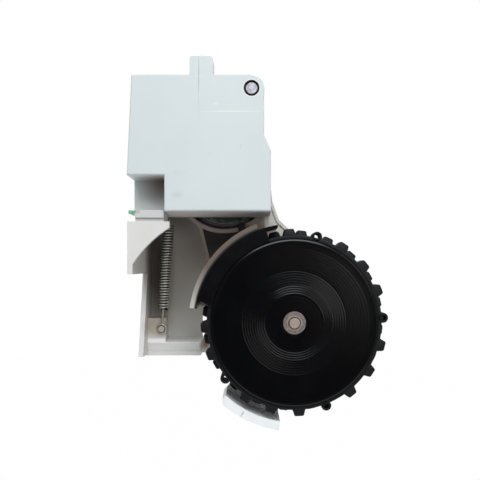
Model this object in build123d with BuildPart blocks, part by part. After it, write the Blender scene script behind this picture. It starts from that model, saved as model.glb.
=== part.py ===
"""Drive wheel module of a robot vacuum: a fixed two-part housing, and a swing arm that carries a geared
motor and the treaded wheel, pulled outwards by a long tension spring.

The origin is the centre of the four chassis screws, on the seating plane at the back of the frame. +Y runs
from the wheel's outer face into the chassis, +X points towards the floor of the room, and +Z points to the
pivot end. Sizes are in millimetres. Places are measured from the wheel's axis, and depths from the wheel's
outer face.
"""

from math import atan2, cos, degrees, hypot, pi, radians, sin, sqrt
import os

from build123d import *

os.makedirs("parts", exist_ok=True)

# Where the wheel stands in the module's own frame
hub_x = 39.0
hub_z = -42.0

# Wheel
wheel_radius = 35.0
tyre_floor_radius = 32.6
rim_radius = 30.9
wheel_width = 22.0
lug_count = 20
lug_phase = 3.1
lug_tip = 3.5
lug_base = 5.2
lobe_radius = 1.9
lobe_hole_radius = 1.0
tread_setback = 1.5
row_gap = 1.0
rim_wall = 2.0
web_thickness = 2.6

# Axle and its small parts
axle_radius = 2.4
running_clearance = 0.05
washer_radius = 4.25
washer_thickness = 0.6
bush_radius = 4.2
bush_length = 6.0

# Swing arm pivot
pivot_x = -15.9
pivot_z = 86.2
pivot_radius = 2.3
pivot_boss_radius = 3.3
pivot_tower_radius = 4.8
travel_deg = 12.0

# Front housing cover
cover_left = -62.0
cover_left_top = -60.25
cover_right = -11.0
cover_bulge = 2.5
bulge_start = 22.5
bulge_full = 28.0
cover_bottom = 41.0
cover_top = 91.5
cover_front = -3.0
cover_back = 27.8
cover_wall = 1.8
cover_corner = 6.6
cover_edge = 0.4
cover_draft = 0.6
notch_width = 14.1
notch_height = 13.5
notch_depth = 16.0
tab_left = -38.7
tab_right = -30.1
tab_height = 6.5
tab_depth = 11.0

# Back frame
frame_wall = 2.0
frame_plate = 2.5
frame_gap = 0.2
flange_top = 37.6
flange_bottom = 18.0
flange_right = -46.4
flange_thickness = 3.0
flange_cut_radius = 43.0
flange_cut_x = -23.6
flange_cut_z = -1.1
shelf_right = -49.2
shelf_thickness = 1.8
wall_step_depth = 38.0
wall_foot_depth = 26.5
rail_depth = 40.0
rail_top = -10.2
rail_edge = -11.5
rail_height = 6.8
rail_lip = 1.6
rail_right = -37.4
wall_foot = -16.0
plate_right = -20.0
rear_gap = 5.5

# Chassis ears
screw_spacing_x = 30.0
screw_spacing_z = 112.0
screw_hole_radius = 1.7
ear_radius = 4.0

# Spring
spring_radius = 2.25
spring_wire = 0.9
spring_turns = 31
turn_sides = 10
spring_foot_z = 2.7
spring_head_z = 38.0
spring_drop = 7.1
post_x = -54.0
post_z = -5.6
lug_x = -49.6
lug_z = 60.0
lug_reach = 2.2
ear_root_x = -39.8
peg_radius = 1.2
post_block_right = -52.6
post_block_top = -1.2

# Arm
wheel_gap = 1.3
lid_rise = 4.2
lid_rim = 1.2
arm_plate = 2.0
arm_wall = 1.8
tray_depth = 12.5
shield_thickness = 2.0
shield_radius = 34.0
fender_inner = 37.0
fender_outer = 39.4
fender_start = 111.0
fender_end = 172.0
fender_front = 2.0
arch_start = 227.0
arch_end = 262.0
arch_inner = 37.6
arch_lip = 1.6
arch_front = 4.0
arch_slit = 240.7
collar_radius = 21.0
collar_wall = 1.5
collar_groove = 1.2
collar_height = 1.3
collar_flat = -9.5
lead_gap_start = -74.0
lead_gap_end = -61.0
rib_head = (-21.4, 39.3)
rib_foot = (-13.6, 36.5)
rib_thickness = (0.5, 1.3)
tower_radius = 15.0
heel_start = 99.0
heel_end = 144.0
panel_top = 42.0
panel_right = -21.0
guard_wall_start = 99.7
guard_end = 167.0
guard_inner = 31.6
guard_thickness = 1.6

# Motor
motor_radius = 12.2
motor_length = 29.8
can_neck = 0.8
motor_shaft_radius = 1.0
board_radius = 16.8
board_thickness = 1.2
motor_plate_radius = 17.6
motor_plate_thickness = 1.2

# Screws
screw_radius = 0.9
screw_head_radius = 1.8
screw_head_height = 1.2
cover_screw_places = [(-55.4, 86.8), (-36.0, 87.0)]
cover_screw_bite = 9.0
arm_screw_places = [(-14.0, 70.0), (12.2, 15.0), (-20.5, -1.0)]
arm_screw_bite = 1.2
motor_screw_spread = 6.0

# Gear train: module and teeth of each mesh, from the motor to the wheel
mesh_modules = (0.5, 0.6, 0.8, 0.8)
pinion_teeth = (10, 12, 10, 12)
wheel_teeth = (44, 40, 32, 34)
mesh_angles = (-64.0, -78.0, -35.7, -77.3)
mesh_slack = 0.1
backlash = 0.16
pin_radius = 1.0
gear_face = 2.2
gear_step = 2.65
gear_start = 1.7
gear_end_gap = 0.1

# Depths that follow from the wheel: shield, lid, gear tray, spring, seating plane
shield_depth = wheel_width + wheel_gap + shield_thickness
arm_front_depth = shield_depth + lid_rise
arm_back_depth = arm_front_depth + arm_plate
tray_back = arm_back_depth + tray_depth
seat_depth = tray_back + rear_gap + frame_plate
plate_front = seat_depth - frame_plate
frame_front = cover_back + frame_gap
spring_depth = arm_back_depth + spring_drop
gear_layer_a = (arm_back_depth + gear_start, arm_back_depth + gear_start + gear_face)
gear_layer_b = (gear_layer_a[0] + gear_step, gear_layer_a[1] + gear_step)
gear_layer_c = (gear_layer_b[0] + gear_step, gear_layer_b[1] + gear_step)


def at(depth, x=0.0, z=0.0):
    """Plane facing the viewer, at a depth behind the wheel's outer face and a place from its axis."""
    return Plane(origin=(hub_x + x, depth - seat_depth, hub_z + z), x_dir=(1, 0, 0), z_dir=(0, -1, 0))


def side(x):
    """Plane facing the floor side, in which the first coordinate is depth and the second is height."""
    return Plane(origin=(hub_x + x, -seat_depth, hub_z), x_dir=(0, 1, 0), z_dir=(1, 0, 0))


def polar(radius, angle):
    """Point at a radius and an angle in degrees."""
    return (radius * cos(radians(angle)), radius * sin(radians(angle)))


def turned(x, z, angle):
    """A place on the arm after the arm has swung by an angle in degrees towards the housing."""
    dx = x - pivot_x
    dz = z - pivot_z
    return (
        pivot_x + dx * cos(radians(angle)) + dz * sin(radians(angle)),
        pivot_z - dx * sin(radians(angle)) + dz * cos(radians(angle)),
    )


def ring_sector(inner, outer, start, end):
    """Sketch of a band between two radii and two angles, about the sketch's origin."""
    middle = (start + end) / 2
    with BuildSketch() as sector:
        with BuildLine():
            ThreePointArc(polar(outer, start), polar(outer, middle), polar(outer, end))
            Line(polar(outer, end), polar(inner, end))
            ThreePointArc(polar(inner, end), polar(inner, middle), polar(inner, start))
            Line(polar(inner, start), polar(outer, start))
        make_face()
    return sector.sketch


def gear_outline(module, teeth, turn):
    """Spur gear outline with involute flanks, one tooth pointing at the angle turn in degrees."""
    pitch_radius = module * teeth / 2
    base_radius = pitch_radius * cos(radians(20))
    tip_radius = pitch_radius + 0.95 * module
    root_radius = pitch_radius - 1.2 * module
    half_tooth = (pi * module / 2 - backlash) / (2 * pitch_radius)

    def half_angle(radius):
        """Half of the tooth's angle at a radius on the involute."""
        lean_pitch = sqrt((pitch_radius / base_radius) ** 2 - 1)
        lean = sqrt(max((radius / base_radius) ** 2 - 1, 0))
        return half_tooth + (lean_pitch - atan2(lean_pitch, 1)) - (lean - atan2(lean, 1))

    flank_start = max(base_radius, root_radius)
    flank_radii = (flank_start, pitch_radius, tip_radius)
    right = [polar(root_radius - 0.1, -degrees(half_angle(flank_start)))]
    right += [polar(radius, -degrees(half_angle(radius))) for radius in flank_radii]
    left = [(x, -y) for x, y in reversed(right)]
    with BuildSketch() as outline:
        Circle(root_radius)
        with PolarLocations(0, teeth, start_angle=turn):
            Polygon(*(right + left), align=None)
    return outline.sketch


# Axes of the gear train: the motor, three compound gears and the wheel
mesh_distance = [
    module * (small + large) / 2 + mesh_slack
    for module, small, large in zip(mesh_modules, pinion_teeth, wheel_teeth)
]
train = [(0.0, 0.0)]
for distance, angle in zip(reversed(mesh_distance), reversed(mesh_angles)):
    next_x, next_z = train[0]
    train.insert(0, (next_x - distance * cos(radians(angle)), next_z - distance * sin(radians(angle))))
motor_x, motor_z = train[0]

# Derived places
notch_right = cover_left + notch_width
notch_top = cover_bottom + notch_height
foot_z = rail_top - rail_height

# Arm outline, clockwise from the pivot boss
arm_points = [
    (pivot_x + pivot_boss_radius, pivot_z),
    (-8.4, 60.0),
    (-7.5, 48.0),
    (-4.5, 39.8),
    (-1.0, 36.6),
    (8.0, 30.0),
    (17.0, 10.0),
    (17.0, -8.0),
    (9.0, -17.0),
    (-9.0, -17.0),
    (-19.0, -6.0),
    (-30.0, 14.0),
    (-34.0, 23.1),
    (-37.7, 38.1),
    (-41.0, 50.0),
    (-40.5, 62.0),
    (pivot_x - pivot_boss_radius, pivot_z),
]


def arm_outline(inset=0.0):
    """The arm's outline seen from the wheel side, drawn in by an inset."""
    with BuildSketch() as outline:
        with BuildLine():
            Polyline(*arm_points)
            ThreePointArc(arm_points[-1], (pivot_x, pivot_z + pivot_boss_radius), arm_points[0])
        make_face()
        fillet(
            [v for v in outline.vertices() if v.Y < pivot_z - 1 and not -1.1 < v.X < -0.9],
            2.5,
        )
        if inset:
            offset(amount=-inset, kind=Kind.INTERSECTION)
    return outline.sketch


# Front housing cover: a deep moulded tray with its mouth towards the frame
with BuildPart() as housing_cover:
    with BuildSketch(at(cover_back)) as cover_face:
        with BuildLine():
            Polyline(
                (cover_left, cover_bottom),
                (cover_left, notch_top),
                (cover_left_top, cover_top),
                (cover_right, cover_top),
                (cover_right, cover_top - bulge_start),
                (cover_right + cover_bulge, cover_top - bulge_full),
                (cover_right + cover_bulge, cover_bottom),
                close=True,
            )
        make_face()
        fillet(cover_face.vertices().group_by(Axis.Y)[-1].sort_by(Axis.X)[-1], cover_corner)
    extrude(amount=cover_back - cover_front, taper=cover_draft)
    with BuildSketch(at(notch_depth)):
        with Locations((cover_left - 1, cover_bottom - 1)):
            Rectangle(notch_width + 1, notch_height + 1, align=(Align.MIN, Align.MIN))
    extrude(amount=notch_depth - cover_front + 1, mode=Mode.SUBTRACT)
    offset(amount=-cover_wall, openings=housing_cover.faces().sort_by(Axis.Y)[-1])
    chamfer(housing_cover.faces().sort_by(Axis.Y)[0].edges(), cover_edge)
    # Locating tongue on the top edge
    with BuildSketch(at(cover_front + tab_depth)) as tongue:
        with Locations((tab_left, cover_top - 1)):
            Rectangle(tab_right - tab_left, tab_height + 1, align=(Align.MIN, Align.MIN))
        fillet(tongue.vertices().group_by(Axis.Y)[-1], 1.0)
    extrude(amount=tab_depth - 0.4)
    # Screw posts
    with BuildSketch(at(cover_back)):
        with Locations(*cover_screw_places):
            Circle(screw_radius + 1.7)
    extrude(amount=cover_back - cover_front - 1)
    with BuildSketch(at(cover_back + 1)):
        with Locations(*cover_screw_places):
            Circle(screw_radius)
    extrude(amount=cover_screw_bite + 1, mode=Mode.SUBTRACT)
    # Pivot tower, bored for the pin and countersunk at the face
    with BuildSketch(at(cover_back, pivot_x, pivot_z)):
        Circle(pivot_tower_radius)
    extrude(amount=cover_back - cover_front - 1)
    with BuildSketch(at(cover_back + 1, pivot_x, pivot_z)):
        Circle(pivot_radius + running_clearance)
    extrude(amount=cover_back - cover_front + 3, mode=Mode.SUBTRACT)
    with BuildSketch(at(cover_front + 1.2, pivot_x, pivot_z)):
        Circle(2.85)
    extrude(amount=3, mode=Mode.SUBTRACT)
housing_cover.part.label = "housing_cover"
export_step(housing_cover.part, "parts/housing_cover.step")

# Back frame: seating plate, side wall, bottom rail, curved front flange and the four chassis ears
ear_places = [
    (x - hub_x, z - hub_z)
    for x in (-screw_spacing_x / 2, screw_spacing_x / 2)
    for z in (-screw_spacing_z / 2, screw_spacing_z / 2)
]
with BuildPart() as frame_back:
    with BuildSketch(at(seat_depth)):
        with BuildLine():
            Polyline(
                (cover_left, foot_z),
                (cover_left, notch_top),
                (cover_left_top, cover_top),
                (cover_right, cover_top),
                (cover_right, cover_bottom + 6),
                (plate_right, cover_bottom - 4),
                (plate_right, flange_bottom + 2),
                (rail_right, 1.0),
                (rail_right, rail_top),
                (plate_right, rail_top),
                (plate_right, foot_z),
                close=True,
            )
        make_face()
        with Locations(*ear_places):
            Circle(ear_radius)
        for x, z in ear_places:
            if z > cover_top:
                with Locations((x, cover_top)):
                    Rectangle(2 * ear_radius, 2 * (z - cover_top))
    extrude(amount=frame_plate)
    # Upper walls that close the housing behind the cover
    with BuildSketch(at(plate_front)):
        with BuildLine():
            Polyline(
                (cover_left, flange_bottom),
                (cover_left, notch_top),
                (cover_left_top, cover_top),
                (cover_right, cover_top),
                (cover_right, cover_top - frame_wall),
                (cover_left_top + frame_wall, cover_top - frame_wall),
                (cover_left + frame_wall, notch_top),
                (cover_left + frame_wall, flange_bottom),
                close=True,
            )
        make_face()
    extrude(amount=plate_front - frame_front)
    # Side wall: full depth beside the flange, then a front edge that slants forward to the foot
    with BuildSketch(side(cover_left)):
        with BuildLine():
            Polyline(
                (plate_front, flange_top),
                (0, flange_top),
                (0, flange_bottom),
                (wall_step_depth, flange_bottom),
                (wall_foot_depth, wall_foot),
                (plate_front, foot_z),
                close=True,
            )
        make_face()
    extrude(amount=frame_wall)
    # Bottom rail with a lip along its lower edge
    with BuildSketch(side(cover_left + frame_wall / 2)):
        with BuildLine():
            Polyline(
                (plate_front, rail_top),
                (rail_depth, rail_edge),
                (rail_depth, foot_z + rail_lip),
                (rail_depth - 1, foot_z + rail_lip),
                (rail_depth - 1, foot_z),
                (plate_front, foot_z),
                close=True,
            )
        make_face()
    extrude(amount=rail_right - cover_left - frame_wall / 2)
    # Front flange, cut back on an arc for the wheel when the arm is up
    with BuildSketch(at(flange_thickness)):
        with Locations((cover_left, flange_bottom)):
            Rectangle(flange_right - cover_left, flange_top - flange_bottom, align=(Align.MIN, Align.MIN))
        with Locations((flange_cut_x, flange_cut_z)):
            Circle(flange_cut_radius, mode=Mode.SUBTRACT)
    extrude(amount=flange_thickness)
    # Shelf that joins the flange to the walls behind it
    with BuildSketch(at(frame_front)):
        with Locations((cover_left, flange_top - shelf_thickness)):
            Rectangle(shelf_right - cover_left, shelf_thickness, align=(Align.MIN, Align.MIN))
    extrude(amount=frame_front - 1.0)
    # Block in the corner for the foot of the spring, with the peg that its hook turns round
    with BuildSketch(at(plate_front)):
        with Locations((cover_left + 1, rail_edge - 1)):
            Rectangle(
                post_block_right - cover_left - 1,
                post_block_top - rail_edge + 1,
                align=(Align.MIN, Align.MIN),
            )
    extrude(amount=plate_front - spring_depth - 1.0)
    with BuildSketch(at(plate_front, post_x, post_z)):
        Circle(peg_radius)
    extrude(amount=plate_front - spring_depth + 2.0)
    # Screw posts behind the cover
    with BuildSketch(at(plate_front)):
        with Locations(*cover_screw_places):
            Circle(screw_radius + 1.7)
    extrude(amount=plate_front - frame_front)
    with BuildSketch(at(seat_depth + 1)):
        with Locations(*cover_screw_places):
            Circle(screw_radius + running_clearance)
    extrude(amount=seat_depth, mode=Mode.SUBTRACT)
    with BuildSketch(at(seat_depth + 1)):
        with Locations(*cover_screw_places):
            Circle(screw_head_radius + 0.2)
    extrude(amount=screw_head_height + 1.2, mode=Mode.SUBTRACT)
    # Pivot socket and the chassis screw holes
    with BuildSketch(at(plate_front, pivot_x, pivot_z)):
        Circle(pivot_tower_radius)
    extrude(amount=plate_front - tray_back - 0.4)
    with BuildSketch(at(seat_depth - 1.0, pivot_x, pivot_z)):
        Circle(pivot_radius + running_clearance)
    extrude(amount=seat_depth, mode=Mode.SUBTRACT)
    with BuildSketch(at(seat_depth + 1)):
        with Locations(*ear_places):
            Circle(screw_hole_radius)
    extrude(amount=frame_plate + 2, mode=Mode.SUBTRACT)
frame_back.part.label = "frame_back"
export_step(frame_back.part, "parts/frame_back.step")

# Steel pivot pin through the cover, the arm and the frame
with BuildPart() as pivot_pin:
    with BuildSketch(at(seat_depth - 1.0, pivot_x, pivot_z)):
        Circle(pivot_radius)
    extrude(amount=seat_depth - 1.0 - cover_front)
    chamfer(pivot_pin.edges().group_by(Axis.Y)[0], 0.3)
pivot_pin.part.label = "pivot_pin"
export_step(pivot_pin.part, "parts/pivot_pin.step")

# Front half of the arm: gearbox lid with the fender, the lower arch and the motor collar moulded on
with BuildPart() as arm_front:
    with BuildSketch(at(arm_back_depth)):
        add(arm_outline())
    extrude(amount=arm_plate)
    # Raised rim along the lid's edge
    with BuildSketch(at(arm_front_depth)):
        add(arm_outline())
        add(arm_outline(lid_rim), mode=Mode.SUBTRACT)
    extrude(amount=1.0)
    # Motor collar: a low wall with a groove inside it, flattened on the floor side
    with BuildSketch(at(arm_back_depth, motor_x, motor_z)):
        Circle(collar_radius)
        with Locations((collar_flat - motor_x, 0)):
            Rectangle(collar_radius, 2 * collar_radius, align=(Align.MIN, Align.CENTER), mode=Mode.SUBTRACT)
    extrude(amount=arm_plate + collar_height)
    with BuildSketch(at(arm_front_depth, motor_x, motor_z)):
        Circle(collar_radius - collar_wall)
    extrude(amount=2, mode=Mode.SUBTRACT)
    with BuildSketch(at(arm_back_depth - 0.6, motor_x, motor_z)):
        Circle(collar_radius - collar_wall)
        Circle(collar_radius - collar_wall - collar_groove, mode=Mode.SUBTRACT)
        with Locations((collar_flat - collar_wall - motor_x, 0)):
            Rectangle(collar_radius, 2 * collar_radius, align=(Align.MIN, Align.CENTER), mode=Mode.SUBTRACT)
    extrude(amount=arm_plate, mode=Mode.SUBTRACT)
    # Gap in the collar for the motor's leads, with a rib beside it that runs to the fender
    with BuildSketch(at(arm_front_depth, motor_x, motor_z)):
        add(ring_sector(collar_radius - collar_wall - 0.5, collar_radius + 0.5, lead_gap_start, lead_gap_end))
    extrude(amount=2, mode=Mode.SUBTRACT)
    with BuildSketch(at(arm_front_depth)):
        with BuildLine():
            Polyline(
                rib_head,
                rib_foot,
                (rib_foot[0] + rib_thickness[0], rib_foot[1] + rib_thickness[1]),
                (rib_head[0] + rib_thickness[0], rib_head[1] + rib_thickness[1]),
                close=True,
            )
        make_face()
    extrude(amount=collar_height)
    with BuildSketch(at(arm_back_depth + 1, motor_x, motor_z)):
        Circle(motor_plate_radius + 0.1)
    extrude(amount=motor_plate_thickness + 1, mode=Mode.SUBTRACT)
    with BuildSketch(at(arm_back_depth, motor_x, motor_z)):
        Circle(board_radius + 0.3)
    extrude(amount=arm_plate + 1, mode=Mode.SUBTRACT)
    # Pivot tube
    with BuildSketch(at(tray_back, pivot_x, pivot_z)):
        Circle(pivot_boss_radius)
    extrude(amount=tray_back - frame_front - 0.3)
    with BuildSketch(at(tray_back + 1, pivot_x, pivot_z)):
        Circle(pivot_radius + running_clearance)
    extrude(amount=tray_back, mode=Mode.SUBTRACT)
    # Shield disc behind the wheel, and the tower that joins it to the lid
    with BuildSketch(at(shield_depth)):
        Circle(shield_radius)
        add(ring_sector(shield_radius - 4, fender_outer, fender_start, fender_end))
        add(ring_sector(shield_radius - 4, fender_outer, arch_start, arch_end))
    extrude(amount=shield_thickness)
    with BuildSketch(at(arm_front_depth)):
        Circle(tower_radius)
        Circle(tower_radius - arm_wall, mode=Mode.SUBTRACT)
        Circle(bush_radius + 1.8)
    extrude(amount=arm_front_depth - shield_depth)
    # Fender over the tread and its heel down to the lid
    with BuildSketch(at(shield_depth)):
        add(ring_sector(fender_inner, fender_outer, fender_start, fender_end))
    extrude(amount=shield_depth - fender_front)
    with BuildSketch(at(arm_front_depth)):
        add(ring_sector(fender_inner, fender_outer, heel_start, heel_end))
    extrude(amount=arm_front_depth - shield_depth)
    # Lower arch with an outer lip
    with BuildSketch(at(shield_depth)):
        add(ring_sector(arch_inner, fender_outer, arch_start, arch_end))
    extrude(amount=shield_depth - arch_front)
    with BuildSketch(at(arch_front + arch_lip)) as lip:
        add(ring_sector(arch_inner, fender_outer + arch_lip, arch_start, arch_end))
        fillet(lip.vertices().sort_by(Axis.X)[0], 2.2)
    extrude(amount=arch_lip)
    with BuildSketch(at(arch_front + 1.0)):
        add(ring_sector(fender_outer - 0.8, fender_outer + arch_lip + 0.5, arch_slit - 0.4, arch_slit + 0.4))
    extrude(amount=2.0, mode=Mode.SUBTRACT)
    # Bore for the axle bush, and blind holes for the screws that close the gearbox
    with BuildSketch(at(arm_back_depth + 1)):
        Circle(bush_radius)
    extrude(amount=20, mode=Mode.SUBTRACT)
    with BuildSketch(at(arm_back_depth)):
        with Locations(*arm_screw_places):
            Circle(screw_radius)
    extrude(amount=arm_screw_bite, mode=Mode.SUBTRACT)
arm_front.part.label = "arm_front"
export_step(arm_front.part, "parts/arm_front.step")

# Rear half of the arm: the gear tray
with BuildPart() as arm_rear:
    with BuildSketch(at(tray_back)):
        add(arm_outline())
    extrude(amount=tray_depth)
    with BuildSketch(at(tray_back - arm_wall)):
        add(arm_outline(arm_wall))
    extrude(amount=tray_depth, mode=Mode.SUBTRACT)
    # Bosses for the gear pins, the screws, the axle bush and the pivot tube
    for (x, z), front in zip(train[1:4], (gear_layer_b[1], gear_layer_c[1], gear_layer_c[1])):
        with BuildSketch(at(tray_back - arm_wall, x, z)):
            Circle(pin_radius + 1.2)
        extrude(amount=tray_back - arm_wall - front - gear_end_gap)
    with BuildSketch(at(tray_back)):
        with Locations(*arm_screw_places):
            Circle(screw_radius + 1.0)
    extrude(amount=tray_depth)
    with BuildSketch(at(tray_back + 1)):
        with Locations(*arm_screw_places):
            Circle(screw_radius + running_clearance)
    extrude(amount=tray_depth + 2, mode=Mode.SUBTRACT)
    with BuildSketch(at(tray_back + 3.0)):
        Circle(bush_radius + 1.8)
    extrude(amount=3.0)
    with BuildSketch(at(tray_back + 4.0)):
        Circle(bush_radius)
    extrude(amount=8, mode=Mode.SUBTRACT)
    with BuildSketch(at(tray_back + 1, pivot_x, pivot_z)):
        Circle(pivot_boss_radius + 0.1)
    extrude(amount=tray_depth + 2, mode=Mode.SUBTRACT)
    for x, z in train[1:4]:
        with BuildSketch(at(tray_back - 1.0, x, z)):
            Circle(pin_radius)
        extrude(amount=6, mode=Mode.SUBTRACT)
    # Ear with a peg for the head of the spring
    with BuildSketch(at(tray_back)):
        with BuildLine():
            Polyline(
                (ear_root_x, lug_z - 10.0),
                (lug_x - lug_reach, lug_z - lug_reach),
                (lug_x - lug_reach, lug_z + lug_reach),
                (ear_root_x, lug_z + 6.0),
                close=True,
            )
        make_face()
    extrude(amount=2.2)
    with BuildSketch(at(tray_back - 2.2, lug_x, lug_z)):
        Circle(peg_radius)
    extrude(amount=tray_back - 2.2 - spring_depth + 1.6)
arm_rear.part.label = "arm_rear"
export_step(arm_rear.part, "parts/arm_rear.step")

# Black panel in the lid between the collar and the fender
with BuildPart() as arm_panel:
    with BuildSketch(at(arm_front_depth)):
        add(arm_outline(lid_rim + 0.1))
        Circle(fender_outer + 0.1, mode=Mode.SUBTRACT)
        with Locations((motor_x, motor_z)):
            Circle(collar_radius + 0.1, mode=Mode.SUBTRACT)
        with Locations((cover_left, panel_top)):
            Rectangle(2 * wheel_radius, cover_top, align=(Align.MIN, Align.MIN), mode=Mode.SUBTRACT)
        with Locations((panel_right, -wheel_radius)):
            Rectangle(2 * wheel_radius, 4 * wheel_radius, align=(Align.MIN, Align.MIN), mode=Mode.SUBTRACT)
    extrude(amount=0.8)
arm_panel.part.label = "arm_panel"
export_step(arm_panel.part, "parts/arm_panel.step")

# Tread guard: a thin black crescent hooked under the fender
with BuildPart() as tread_guard:
    with BuildSketch(at(guard_thickness - 0.8)):
        add(ring_sector(guard_inner, fender_inner - 0.1, fender_start - 4.0, guard_end))
    extrude(amount=guard_thickness)
    with BuildSketch(at(shield_depth - shield_thickness)):
        add(ring_sector(fender_inner - 0.9, fender_inner - 0.1, guard_wall_start, guard_end))
    extrude(amount=shield_depth - shield_thickness - guard_thickness + 0.8)
tread_guard.part.label = "tread_guard"
export_step(tread_guard.part, "parts/tread_guard.step")

# Motor: steel can, plastic end cap, round board, mounting plate, and the shaft with its pinion
motor_face = arm_back_depth - motor_plate_thickness
with BuildPart() as motor_can:
    with BuildSketch(at(motor_face, motor_x, motor_z)):
        Circle(motor_radius)
    extrude(amount=motor_length - 2.5 - can_neck)
    with BuildSketch(at(motor_face - motor_length + 2.5 + can_neck, motor_x, motor_z)):
        Circle(motor_radius - can_neck)
    extrude(amount=can_neck)
    with BuildSketch(at(motor_face + 1, motor_x, motor_z)):
        Circle(motor_shaft_radius + running_clearance)
    extrude(amount=motor_length + 2, mode=Mode.SUBTRACT)
    with BuildSketch(at(motor_face + 1, motor_x, motor_z)):
        with Locations((0, motor_screw_spread), (0, -motor_screw_spread)):
            Circle(screw_radius)
    extrude(amount=4, mode=Mode.SUBTRACT)
motor_can.part.label = "motor_can"
export_step(motor_can.part, "parts/motor_can.step")

with BuildPart() as motor_cap:
    with BuildSketch(at(motor_face - motor_length + 2.5, motor_x, motor_z)):
        Circle(motor_radius - 1.0)
        with Locations((motor_radius - 2.2, 0), (2.2 - motor_radius, 0)):
            Rectangle(1.2, 3.0, mode=Mode.SUBTRACT)
    extrude(amount=2.0)
    with BuildSketch(at(motor_face, motor_x, motor_z)):
        Circle(motor_shaft_radius + running_clearance)
    extrude(amount=motor_length, mode=Mode.SUBTRACT)
motor_cap.part.label = "motor_cap"
export_step(motor_cap.part, "parts/motor_cap.step")

with BuildPart() as motor_board:
    with BuildSketch(at(motor_face, motor_x, motor_z)):
        Circle(board_radius)
        Circle(motor_radius + 0.1, mode=Mode.SUBTRACT)
    extrude(amount=board_thickness)
motor_board.part.label = "motor_board"
export_step(motor_board.part, "parts/motor_board.step")

# Rubber grommet round the motor's leads, in the gap of the collar
with BuildPart() as lead_grommet:
    with BuildSketch(at(arm_front_depth, motor_x, motor_z)):
        add(
            ring_sector(
                collar_radius - collar_wall - 0.4,
                collar_radius + 0.6,
                lead_gap_start + 0.4,
                lead_gap_end - 4.0,
            )
        )
    extrude(amount=collar_height + 0.3)
lead_grommet.part.label = "lead_grommet"
export_step(lead_grommet.part, "parts/lead_grommet.step")

with BuildPart() as motor_plate:
    with BuildSketch(at(arm_back_depth, motor_x, motor_z)):
        Circle(motor_plate_radius)
        Circle(3.2, mode=Mode.SUBTRACT)
        with Locations((0, motor_screw_spread), (0, -motor_screw_spread)):
            Circle(screw_radius + running_clearance, mode=Mode.SUBTRACT)
    extrude(amount=motor_plate_thickness)
motor_plate.part.label = "motor_plate"
export_step(motor_plate.part, "parts/motor_plate.step")

with BuildPart() as motor_shaft:
    with BuildSketch(at(gear_layer_a[1] + 0.4, motor_x, motor_z)):
        Circle(motor_shaft_radius)
    extrude(amount=gear_layer_a[1] + 0.4 - motor_face + motor_length)
motor_shaft.part.label = "motor_shaft"
export_step(motor_shaft.part, "parts/motor_shaft.step")

with BuildPart() as motor_pinion:
    with BuildSketch(at(gear_layer_a[1], motor_x, motor_z)):
        add(gear_outline(mesh_modules[0], pinion_teeth[0], mesh_angles[0]))
        Circle(motor_shaft_radius, mode=Mode.SUBTRACT)
    extrude(amount=gear_layer_a[1] - gear_layer_a[0])
motor_pinion.part.label = "motor_pinion"
export_step(motor_pinion.part, "parts/motor_pinion.step")

# Compound gears: each has a large rim in mesh with the gear before it and a small one for the gear after it
large_layers = (gear_layer_a, gear_layer_b, gear_layer_c)
small_layers = (gear_layer_b, gear_layer_c, gear_layer_a)
for i in range(3):
    x, z = train[i + 1]
    large = large_layers[i]
    small = small_layers[i]
    with BuildPart() as compound_gear:
        with BuildSketch(at(large[1], x, z)):
            turn = mesh_angles[i] + 180 + 180 / wheel_teeth[i]
            add(gear_outline(mesh_modules[i], wheel_teeth[i], turn))
        extrude(amount=large[1] - large[0])
        with BuildSketch(at(small[1], x, z)):
            add(gear_outline(mesh_modules[i + 1], pinion_teeth[i + 1], mesh_angles[i + 1]))
        extrude(amount=small[1] - small[0])
        with BuildSketch(at(max(large[1], small[1]), x, z)):
            Circle(pin_radius + 1.6)
        extrude(amount=max(large[1], small[1]) - min(large[0], small[0]))
        with BuildSketch(at(tray_back, x, z)):
            Circle(pin_radius + running_clearance)
        extrude(amount=tray_depth, mode=Mode.SUBTRACT)
    compound_gear.part.label = f"compound_gear_{i + 1}"
    export_step(compound_gear.part, f"parts/compound_gear_{i + 1}.step")

# Steel pins that carry the compound gears, held in the tray and in the lid
with BuildPart() as gear_pins:
    for x, z in train[1:4]:
        with BuildSketch(at(tray_back - 1.0, x, z)):
            Circle(pin_radius)
        extrude(amount=tray_back - 1.0 - arm_back_depth)
gear_pins.part.label = "gear_pins"
export_step(gear_pins.part, "parts/gear_pins.step")

# Output gear on the axle
with BuildPart() as output_gear:
    with BuildSketch(at(gear_layer_a[1])):
        add(gear_outline(mesh_modules[3], wheel_teeth[3], mesh_angles[3] + 180 + 180 / wheel_teeth[3]))
    extrude(amount=gear_layer_a[1] - gear_layer_a[0])
    with BuildSketch(at(gear_layer_b[1])):
        Circle(axle_radius + 2.2)
    extrude(amount=gear_layer_b[1] - gear_layer_a[0])
    with BuildSketch(at(gear_layer_b[1])):
        Circle(axle_radius)
    extrude(amount=gear_layer_b[1] - gear_layer_a[0], mode=Mode.SUBTRACT)
output_gear.part.label = "output_gear"
export_step(output_gear.part, "parts/output_gear.step")

# Steel axle
axle_back = tray_back + 4.0
with BuildPart() as wheel_axle:
    with BuildSketch(at(axle_back)):
        Circle(axle_radius)
    extrude(amount=axle_back + 0.9)
    chamfer(wheel_axle.edges().group_by(Axis.Y)[0], 0.5)
wheel_axle.part.label = "wheel_axle"
export_step(wheel_axle.part, "parts/wheel_axle.step")

# Bronze bushes in the lid and in the tray
with BuildPart() as axle_bush_front:
    with BuildSketch(at(arm_back_depth)):
        Circle(bush_radius)
        Circle(axle_radius + running_clearance, mode=Mode.SUBTRACT)
    extrude(amount=bush_length)
axle_bush_front.part.label = "axle_bush_front"
export_step(axle_bush_front.part, "parts/axle_bush_front.step")

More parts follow.
